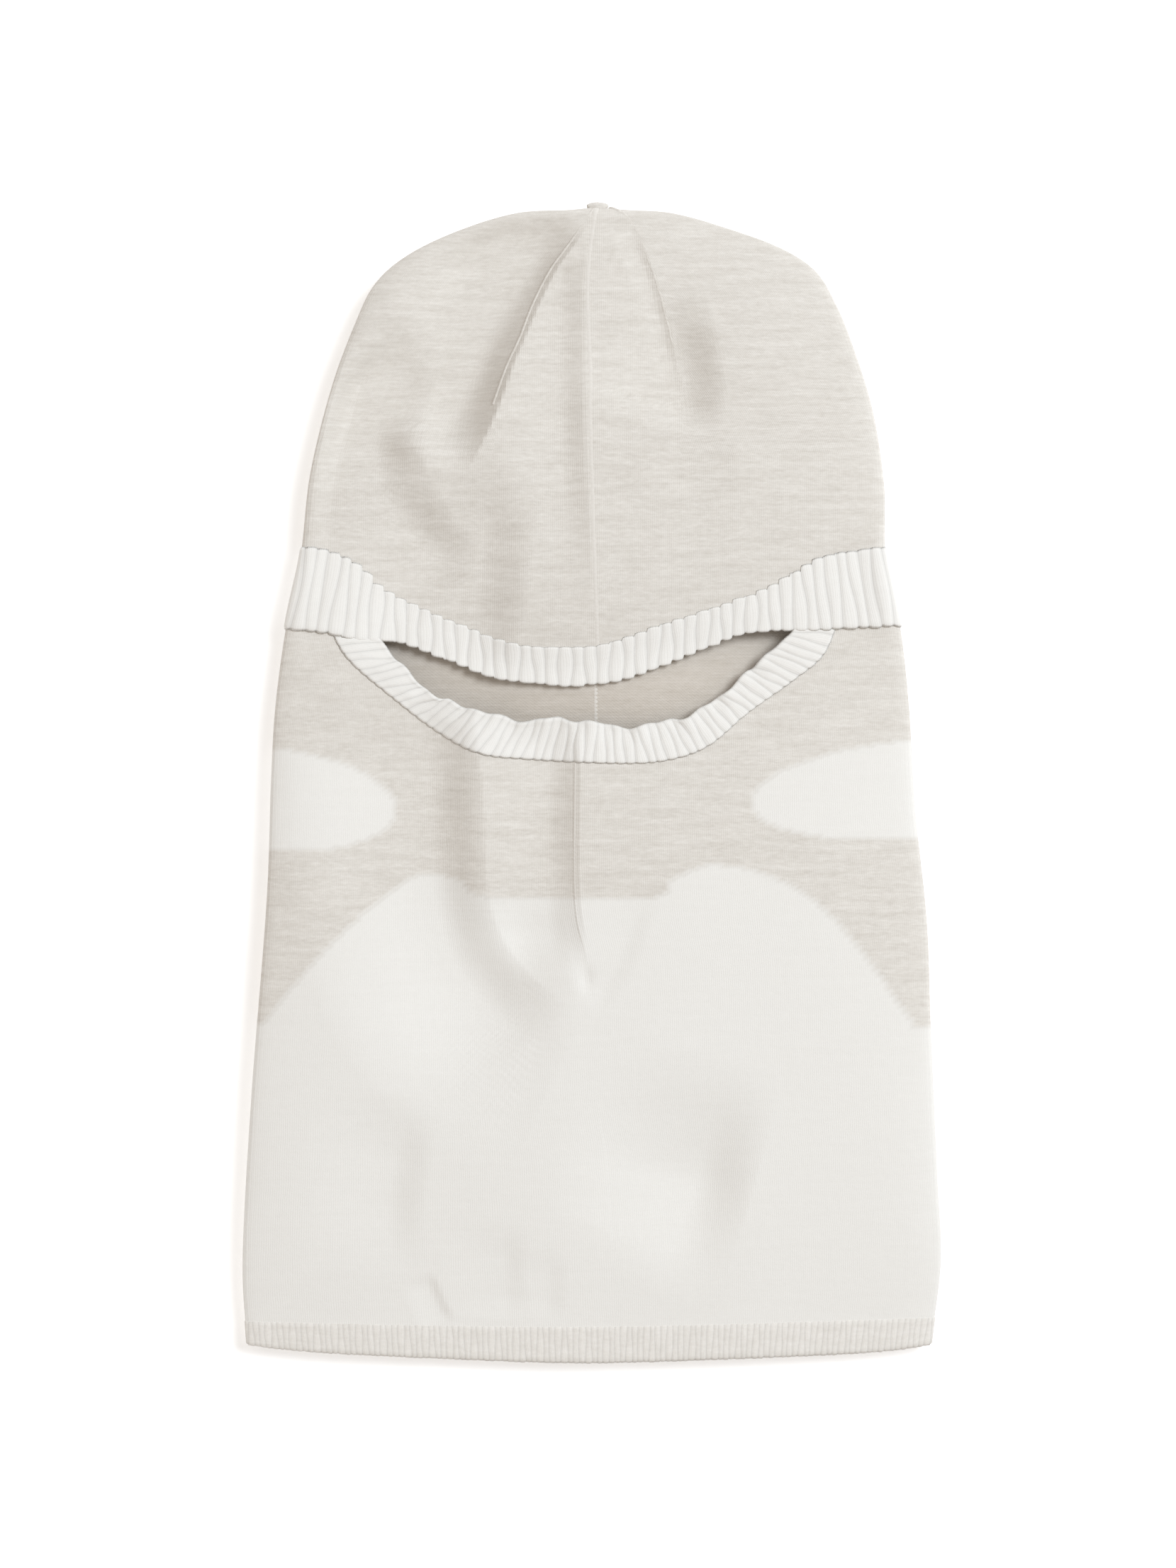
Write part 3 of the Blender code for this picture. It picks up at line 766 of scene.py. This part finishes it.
def crown_stitches(x, y, side, outside):
    """Stitch coordinates on the crown, leaning over outside the shaping line."""
    heights = np.linspace(30, TIP, 400)
    run = np.interp(y, heights, np.cumsum(lean_at(heights)) * (TIP - 30) / 400)
    u = np.where(outside, (x + side * run) / WALE, x / WALE)
    v = np.where(outside, y * (1 + 0.15 * lean_at(y)) / COURSE, y / COURSE)
    return np.stack([u, v], -1)


for word, side in SIDES:
    s = stitch_columns(CROWN_FRONT_MM, CROWN_BACK_MM)
    rows = crown_rows()
    points = skin(side * s[None, :] + np.where(s == 0, side * 1e-9, 0), rows[:, None])
    normals = outward(points) * side
    thin = (KNIT * smooth((TIP - rows) / 9) + 0.15)[:, None, None]
    outer, inner = points, points - normals * thin
    centres = cell_centres(points)
    front = ((s[:-1] + s[1:]) / 2 <= 1)[None, :]
    lower_edge = np.where(front, brow_top(centres[..., 0]), BROW_BACK[1]) - TUCK
    keep = centres[..., 1] > lower_edge
    edge_line = along(SHAPING[side][::-1])
    outside = (side * (centres[..., 0] - edge_line(centres[..., 1])) > 0) & (centres[..., 1] > 120)
    uv = np.stack(
        [crown_stitches(c[..., 0], c[..., 1], side, outside) for c in corners_of(points)], 2)
    piece = cells_to_solid(
        f"crown_{word}_knit", outer, inner, keep, uv, (oatmeal, oatmeal_purl), flip=side < 0)
    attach(piece, ROOT)
    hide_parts(f"crown_{word}")

# %% [markdown]
# ## Ribbed bands
#
# Rib is knitted from raised columns with sunken ones between them, and it is thick enough to cast
# its own small shadows. So the ribs are real shape: the outer face rises over each rib and drops
# between them, and the edges round over. Along the top the band steps from rib to rib, because each
# rib starts on its own row.

# %% The profile of a rib, and a band that goes all the way round
EDGE_RADIUS = 1.1  # a band's edges round over this much


def rib_height(u):
    """Height across one rib, u counting ribs: a broad double column, then a narrow gap."""
    within = u - np.floor(u)
    swell = 1 - np.exp(-((np.minimum(within, 1 - within) / 0.2) ** 2))
    groove = 0.06 * np.exp(-(((within - 0.5) / 0.1) ** 2))
    return swell - groove


def drifting(ribs, v):
    """Ribs never run quite straight or even: the rib count with a little wander added."""
    return ribs + 0.09 * np.sin(ribs * 1.7 + 3 * v) + 0.07 * np.sin(ribs * 2.9 - 5 * v + 1)


def per_rib(u, seed, size):
    """A steady random amount for each rib."""
    draws = np.random.default_rng(seed).uniform(-size, size, 400)
    return draws[np.floor(u).astype(int) % 400]


def round_over(rows, length, radius):
    """Thickness share along a strip: 0 at its two edges, 1 once past the rounding."""
    from_edge = np.minimum(rows, 1 - rows) * length
    t = np.clip(from_edge / radius, 0, 1)
    return np.sqrt(1 - (1 - t) ** 2)


def ring_columns(front_ribs, back_ribs, steps):
    """s and the rib count at every column, steps to a rib, from the back seam round the left."""
    front = np.linspace(0, 1, front_ribs * steps, endpoint=False)
    back = np.linspace(1, 2, back_ribs * steps, endpoint=False)
    half = np.concatenate([front, back])
    count = np.arange(len(half)) / steps
    s = np.concatenate([-2 + 0 * half[:1], -half[:0:-1], half])
    ribs = np.concatenate([[-(front_ribs + back_ribs)], -count[:0:-1], count])
    return s, ribs


def ring_band(
        name, s, ribs, edges, height, proud, cover, rows, lean, yarns, steps=True, ragged=1.0):
    """A ribbed ring. edges gives its lower and upper y at (x, s), and height is a rib's. proud and
    cover are how far its outer and inner faces stand off the skin. lean slants the ribs, steps makes
    the edges step from rib to rib, and ragged is how uneven they are."""
    v = np.linspace(0, 1, rows)[:, None]
    shift = lean * np.sin(np.clip(s, -1, 1) * math.pi) * (v - 0.5)
    at = s[None, :] + shift
    middle = np.interp(np.floor(ribs) + 0.5, ribs, s) * 0.6 + s * 0.4 if steps else s
    # x depends on y and the edges' y on x, so a few rounds settle both
    centre_y = np.full(len(s), 60.0)
    for _ in range(5):
        centre_x = skin(middle, centre_y)[..., 0]
        low, high = edges(centre_x, middle)
        centre_y = (low + high) / 2
    y = low[None, :] * (1 - v) + high[None, :] * v
    rib = rib_height(drifting(ribs[None, :], v))
    y = y - (0.45 * rib + per_rib(ribs, 5, 0.2)) * smooth(1 - v / 0.2) * ragged
    y = y + (0.3 * rib + per_rib(ribs, 6, 0.25)) * smooth(1 - (1 - v) / 0.2) * ragged
    points = skin(at, y)
    normals = outward(points)
    normals[:, 0] = normals[:, -1] = (0, 0, -1)  # straight down at the back seam
    body = round_over(v, 20, EDGE_RADIUS)
    middle_offset = (cover + proud) / 2
    out = middle_offset + (proud - middle_offset + height * rib) * body
    under = middle_offset - (middle_offset - cover) * body
    wraps = np.concatenate([ribs, [-ribs[0]]])[None, :]
    uv = np.stack([drifting(wraps, v) * RIB_LOOPS, np.arange(rows)[:, None] + 0 * wraps], -1)
    outer = points + normals * out[..., None]
    inner = points + normals * under[..., None]
    outer[..., 2] = np.maximum(outer[..., 2], 0)
    return strip_to_solid(name, outer, inner, uv, yarns, ring=True)


def brow_edges(x, s):
    front = np.abs(s) <= 1
    low = np.where(front, brow_bottom(x) - 0.5, BROW_BACK[0])
    return low, np.where(front, brow_top(x), BROW_BACK[1])


BROW_ROWS, HEM_ROWS = 30, 12
s, ribs = ring_columns(26, 25, 10)
front_part = smooth((1 - np.abs(s)) / 0.12)[None, :]
below = 1 - smooth((np.linspace(0, 1, BROW_ROWS)[:, None] - 0.25) / 0.75)
# in the middle, with nothing under it, the band's lower edge settles towards the back
sink = 1.8 * below * np.exp(-((s / 0.36) ** 2))[None, :]
brow = ring_band(
    "brow_band_knit", s, ribs, brow_edges, 0.36,
    0.22 + front_part * (0.1 + 0.7 * below) - sink, 0.06 + 0.3 * front_part * below - sink,
    BROW_ROWS, 0.012, (ivory_rib, ivory_purl))
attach(brow, ROOT)
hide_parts("brow_band")

# %% The hem
def hem_edges(x, s):
    return hem_bottom(x), hem_top(x)


s, ribs = ring_columns(62, 58, 6)
front_part = smooth((1 - np.abs(s)) / 0.12)[None, :]
hem = ring_band(
    "hem_band_knit", s, ribs, hem_edges, 0.12, 0.15 + 0.1 * front_part, -1.4, HEM_ROWS, 0.0,
    (oatmeal_rib, oatmeal_purl), steps=False, ragged=0.5)
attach(hem, ROOT)
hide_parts("hem_band")

# %% [markdown]
# ## The chin band
#
# This one isn't a ring: it is a strip bent into a U, whose ends run up under the brow band. Its outer
# edge is linked to the face, so it lies flat, and its inner edge is free, so it waves a little and
# rolls into a thin bead.

# %% Bend a ribbed strip into a U
def even_points(points, count):
    """count points at even steps along a smooth curve."""
    curve = spline(points, 30)
    distance = np.concatenate([[0], np.cumsum(np.hypot(*np.diff(curve, axis=0).T))])
    at = np.linspace(0, distance[-1], count)
    return np.stack([np.interp(at, distance, curve[:, i]) for i in (0, 1)], -1)


CHIN_RIBS, PER_RIB, CHIN_ROWS = 60, 10, 20
count = CHIN_RIBS * PER_RIB + 1
lower_line, upper_line = even_points(CHIN_BOTTOM, count), even_points(CHIN_TOP, count)
v = np.linspace(0, 1, CHIN_ROWS)[:, None, None]
plan = lower_line[None] * (1 - v) + upper_line[None] * v
v = v[..., 0]
turns = np.arange(count)[None, :] / PER_RIB
rib = rib_height(drifting(turns, v))
x, y = plan[..., 0], plan[..., 1]
free = smooth((v - 0.35) / 0.65)
y = y + free * (0.5 * np.sin(turns * 1.05) + 0.35 * np.sin(turns * 1.9 + 1))
y = y - 0.3 * rib * smooth(1 - v / 0.2)
ripple = 0.5 * np.sin(turns * 1.05 + 1.2) + 0.4 * np.sin(turns * 2.3)
lift = free * (1 - smooth((np.abs(x) - 60) / 12)) * ripple
points = np.stack([x, y, front_height(x, y) + lift], -1)
normals = outward(points)
body = round_over(v, 14, EDGE_RADIUS)
bead = 0.5 * np.exp(-(((v - 0.93) / 0.05) ** 2))
tucked = 1 - smooth(np.minimum(turns, CHIN_RIBS - turns) / 4.5)
rise = (0.3 + 0.45 * smooth(v / 0.5)) * (1 - 0.6 * tucked)
thick = (0.3 + 0.34 * rib * (1 - 0.75 * smooth((v - 0.82) / 0.1)) + bead) * (1 - 0.7 * tucked)
out = rise + thick * body
under = rise - (rise - 0.1) * body
rows_up = 0.8 * np.arange(CHIN_ROWS)[:, None]
uv = np.stack([drifting(turns, v) * RIB_LOOPS, rows_up + 0 * turns], -1)
chin = strip_to_solid(
    "chin_band_knit", points + normals * out[..., None], points + normals * under[..., None], uv,
    (ivory_rib, ivory_purl))
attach(chin, ROOT)
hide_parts("chin_band")

# %% [markdown]
# ## Seams and the knot
#
# The halves are linked edge to edge with a row of chain stitches. A chain is a string of small loops,
# so it is made as a low cord that swells and narrows with each stitch.

# %% Lay a chain of stitches along a line
SEAM_STITCH = 1.5
CORD_SIDES = 10


def chain(name, path, width, height, yarn):
    """A flattened cord along path whose section swells with every stitch."""
    steps = np.concatenate([[0], np.cumsum(np.linalg.norm(np.diff(path, axis=0), axis=1))])
    count = max(int(steps[-1] / (SEAM_STITCH / 5)), 8)
    at = np.linspace(0, steps[-1], count)
    line = np.stack([np.interp(at, steps, path[:, i]) for i in range(3)], -1)
    ahead = np.gradient(line, axis=0)
    ahead /= np.linalg.norm(ahead, axis=1, keepdims=True)
    aside = np.cross(ahead, (0, 0, 1))
    aside /= np.linalg.norm(aside, axis=1, keepdims=True)
    up = np.cross(aside, ahead)
    swell = 0.94 + 0.06 * np.abs(np.sin(at / SEAM_STITCH * math.pi))
    swell[0] = swell[-1] = 0.05
    turn = np.linspace(0, 2 * math.pi, CORD_SIDES, endpoint=False)
    ring = (
        line[:, None]
        + aside[:, None] * (np.cos(turn)[None, :, None] * (width / 2 * swell)[:, None, None])
        + up[:, None] * (np.sin(turn)[None, :, None] * (height * swell)[:, None, None])
    )
    index = np.arange(count * CORD_SIDES).reshape(count, CORD_SIDES)
    index = np.concatenate([index, index[:, :1]], 1)
    mesh = bpy.data.meshes.new(name)
    ends = [index[0, :-1][::-1].tolist(), index[-1, :-1].tolist()]
    mesh.from_pydata((ring.reshape(-1, 3) * MM).tolist(), [], quads_of(index).tolist() + ends)
    layer = mesh.uv_layers.new(name="stitches")
    spot = np.repeat(at / SEAM_STITCH, CORD_SIDES)[[loop.vertex_index for loop in mesh.loops]]
    layer.data.foreach_set("uv", np.stack([spot * 0 + 0.25, spot], -1).astype(np.float32).ravel())
    mesh.materials.append(yarn)
    mesh.shade_smooth()
    piece = bpy.data.objects.new(name, mesh)
    bpy.context.scene.collection.objects.link(piece)
    print(f"{name}: {round(float(steps[-1]))} mm of chain")
    return piece


def on_front(xs, ys, lift):
    """A path along the front layer, lift above its face."""
    return np.stack([xs, ys, front_height(xs, ys) + lift], -1)


y_crown = np.linspace(float(brow_top(2)) - 2, TIP - 1.0, 160)
y_lower = np.linspace(float(hem_top(9)) - 1, float(chin_bottom(-4)) + 2, 200)
y_back = np.linspace(BROW_BACK[1] - 2, TIP - 4, 60)
y_back_low = np.linspace(float(hem_top(2)) - 1, BROW_BACK[0] + 2, 80)
SEAM_WIDTH, SEAM_PROUD = 3.2, 0.09


def on_back(ys):
    """A path up the middle of the back layer's thickness."""
    points = skin(np.full(len(ys), 1.9999), ys)
    return np.stack([ys * 0 + BACK_SEAM_X, ys, points[:, 2] + KNIT / 2], -1)


seams = {
    "crown_front_seam": on_front(crown_seam(y_crown), y_crown, -KNIT / 2),
    "lower_front_seam": on_front(lower_seam(y_lower), y_lower, -KNIT / 2),
    "crown_back_seam": on_back(y_back),
    "lower_back_seam": on_back(y_back_low),
}
for seam_name, path in seams.items():
    flatter = 0.4 if seam_name == "lower_front_seam" else 1.0  # this one hardly shows
    piece = chain(
        f"{seam_name}_chain", path, SEAM_WIDTH * (0.4 + 0.6 * flatter),
        KNIT / 2 + SEAM_PROUD * flatter, oatmeal_seam)
    if seam_name.startswith("lower"):  # sewn in the neck's own yarn below the pale peaks
        piece.data.materials.append(ivory)
        for polygon in piece.data.polygons:
            polygon.material_index = int(polygon.center.y / MM < snow_line(0))
    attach(piece, ROOT)
    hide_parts(seam_name)

# %% The shaping lines, and the knot at the tip
RIDGE_WIDTH, RIDGE_HEIGHT = 1.8, 0.6
for word, side in SIDES:
    line = even_points(SHAPING[side], 90)
    path = on_front(line[:, 0], line[:, 1], -RIDGE_HEIGHT)
    piece = chain(f"shaping_line_{word}", path, RIDGE_WIDTH, RIDGE_HEIGHT, oatmeal)
    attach(piece, ROOT)

low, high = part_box("crown_knot")
KNOT_SIZE = Vector((0.0040, 0.0015, 0.0014))  # half of each side
KNOT_AT = Vector(((low.x + high.x) / 2, high.y - KNOT_SIZE.y, (low.z + high.z) / 2))
bpy.ops.mesh.primitive_uv_sphere_add(segments=32, ring_count=16, radius=1)
knot = bpy.context.object
knot.name = "crown_knot_thread"
knot.data.uv_layers[0].name = "stitches"
for corner in knot.data.uv_layers[0].data:
    corner.uv = (corner.uv.x * 8, corner.uv.y * 5)
for vertex in knot.data.vertices:
    lump = 1 + 0.12 * noise.noise(vertex.co * 2.2)
    vertex.co = KNOT_AT + vertex.co * lump * KNOT_SIZE
knot.data.materials.append(oatmeal_seam)
knot.data.shade_smooth()
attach(knot, ROOT)
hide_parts("crown_knot")

# %% [markdown]
# ## Camera, light and floor
#
# The balaclava lies on a white table with a camera straight above. A wide soft light stands high on
# the right. A weak warm light on the left and a bright, slightly warm room fill the shadows, so they
# are pale and short.

# %% Camera
PICTURE_MM = 575.1  # what the picture's height takes in at the height of the cloth
LENS, SENSOR = 85.0, 36.0
CLOTH_TOP = 12  # the height that the picture is framed at
MIDDLE = -0.5  # x and y of the picture's middle
data = bpy.data.cameras.new("above")
data.lens, data.sensor_width = LENS, SENSOR
data.clip_end = 20
camera = bpy.data.objects.new("above", data)
bpy.context.scene.collection.objects.link(camera)
camera.location = Vector((MIDDLE, MIDDLE, PICTURE_MM * LENS / SENSOR + CLOTH_TOP)) * MM
bpy.context.scene.camera = camera
print("camera is", round(camera.location.z, 3), "m up")


# %% Light
WARM, COOL = (1.0, 0.93, 0.865), (0.886, 0.945, 1.0)


def softbox(name, location, size, power, colour):
    """A square soft light that points at the origin."""
    lamp = bpy.data.lights.new(name, "AREA")
    lamp.shape, lamp.size, lamp.size_y, lamp.energy = "RECTANGLE", size, size, power
    lamp.color = colour
    obj = bpy.data.objects.new(name, lamp)
    bpy.context.scene.collection.objects.link(obj)
    obj.location = location
    obj.rotation_euler = Vector(location).to_track_quat("Z", "Y").to_euler()


softbox("key", (1.3, 0.78, 1.95), 1.1, 42.6, COOL)
softbox("fill", (-1.2, -0.7, 0.9), 1.2, 2.6, WARM)
world = bpy.data.worlds.new("room")
world.use_nodes = True
background = world.node_tree.nodes["Background"]
background.inputs["Color"].default_value = (*WARM, 1)
background.inputs["Strength"].default_value = 0.475
bpy.context.scene.world = world
bpy.context.scene.view_settings.view_transform = "Standard"
print("lights:", [light.name for light in bpy.data.lights])

# %% Floor
bpy.ops.mesh.primitive_plane_add(size=6)
floor = bpy.context.object
floor.name = "table"
paint = bpy.data.materials.new("white_table")
paint.use_nodes = True
shader = paint.node_tree.nodes["Principled BSDF"]
shader.inputs["Base Color"].default_value = (0.9, 0.9, 0.9, 1)
shader.inputs["Roughness"].default_value = 0.9
shader.inputs["Emission Color"].default_value = (1, 1, 1, 1)
shader.inputs["Emission Strength"].default_value = 0.38
floor.data.materials.append(paint)
floor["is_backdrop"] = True
print("the table is", round(floor.dimensions.x, 1), "m across")

# %% [markdown]
# ## Cloth sizes
#
# Each knitted piece's size as a sheet, before it was joined up and laid down, is listed below with its
# area, since a piece with rounded or stepped edges fills only part of that rectangle. The loops only
# look the pieces up; nothing is done with these sizes.

SHEETS = {
    "crown": ((0.218, 0.172), 0.030),
    "face": ((0.242, 0.160), 0.0285),
    "neck": ((0.250, 0.172), 0.031),
}
for part, (flat, area) in SHEETS.items():
    for word in ("left", "right"):
        piece = bpy.data.objects[f"{part}_{word}_knit"]
for word, flat, area in (("left", (0.094, 0.037), 0.0028), ("right", (0.118, 0.035), 0.0033)):
    piece = bpy.data.objects[f"cheek_patch_{word}_knit"]

# %% The box round everything drawn, and finish
low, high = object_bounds()
print("visual box, mm:", [round(v / MM, 1) for v in (*low, *high)])
